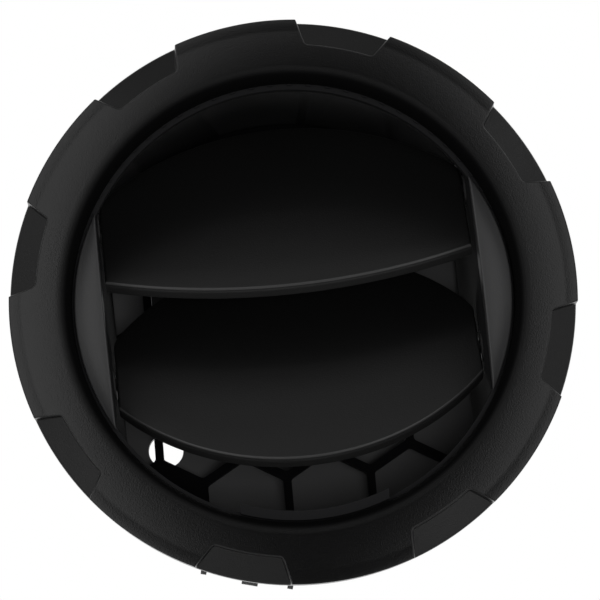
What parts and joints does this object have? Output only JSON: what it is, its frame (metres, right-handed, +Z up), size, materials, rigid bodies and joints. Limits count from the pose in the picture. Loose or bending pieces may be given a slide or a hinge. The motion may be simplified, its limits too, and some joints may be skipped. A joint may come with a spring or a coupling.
{
  "type": "dashboard air vent",
  "caption": "Round rotating dashboard air vent with a notched bezel, two linked tilting louvres, a honeycomb guard and a duct spigot.",
  "frame": {"origin": "on the vent's axis, in the plane where the bezel's rear rim rests on the dashboard", "axes": "+Y into the dashboard along the vent's axis, +X to the right and +Z up as seen from the cabin"},
  "size_m": [0.1016, 0.0942, 0.1016],
  "materials": {
    "bezel_plastic": "fine-grained matt black",
    "housing_plastic": "plain matt dark grey",
    "guard_plastic": "smooth matt black",
    "seal_foam": "closed-cell foam",
    "spring_steel": "bare spring steel",
    "drum_plastic": "smooth satin black",
    "cheek_plastic": "fine-grained matt black",
    "ring_felt": "short felt",
    "bush_plastic": "smooth black acetal",
    "louvre_plastic": "smooth satin black",
    "crank_plastic": "natural acetal"
  },
  "bodies": {
    "housing": {"front_bezel": "bezel_plastic", "outer_housing": "housing_plastic", "honeycomb_guard": "guard_plastic", "duct_adaptor": "housing_plastic", "duct_seal": "seal_foam", "detent_spring_left": "spring_steel", "detent_spring_right": "spring_steel", "retaining_clip_1": "spring_steel", "retaining_clip_2": "spring_steel", "retaining_clip_3": "spring_steel", "retaining_clip_4": "spring_steel"},
    "rotor": {"rotor_drum": "drum_plastic", "left_cheek_cover": "cheek_plastic", "right_cheek_cover": "cheek_plastic", "friction_ring": "ring_felt", "upper_left_bush": "bush_plastic", "upper_right_bush": "bush_plastic", "lower_left_bush": "bush_plastic", "lower_right_bush": "bush_plastic"},
    "upper_louvre": {"upper_louvre": "louvre_plastic", "upper_crank": "crank_plastic"},
    "lower_louvre": {"lower_louvre": "louvre_plastic", "lower_crank": "crank_plastic"},
    "link": {"louvre_link": "crank_plastic"}
  },
  "joints": [
    {"name": "rotor_spin", "type": "hinge", "parent": "housing", "child": "rotor", "pos_m": [0, 0, 0], "axis": [0, 1, 0], "continuous": true},
    {"name": "upper_louvre_tilt", "type": "hinge", "parent": "rotor", "child": "upper_louvre", "pos_m": [-0.00198, 0.01024, 0.01854], "axis": [0.9943, 0, 0.1063], "range_deg": [-55, 26]},
    {"name": "lower_louvre_tilt", "type": "hinge", "parent": "rotor", "child": "lower_louvre", "pos_m": [0.00107, 0.01154, -0.01005], "axis": [0.9943, 0, 0.1063], "range_deg": [-55, 26]},
    {"name": "link_swing", "type": "hinge", "parent": "upper_louvre", "child": "link", "pos_m": [-0.00152, 0.01274, 0.01423], "axis": [0.9943, 0, 0.1063], "range_deg": [-26, 55]}
  ],
  "couplings": [
    {"joint": "lower_louvre_tilt", "follows": "upper_louvre_tilt", "ratio": 1},
    {"joint": "link_swing", "follows": "upper_louvre_tilt", "ratio": -1}
  ]
}
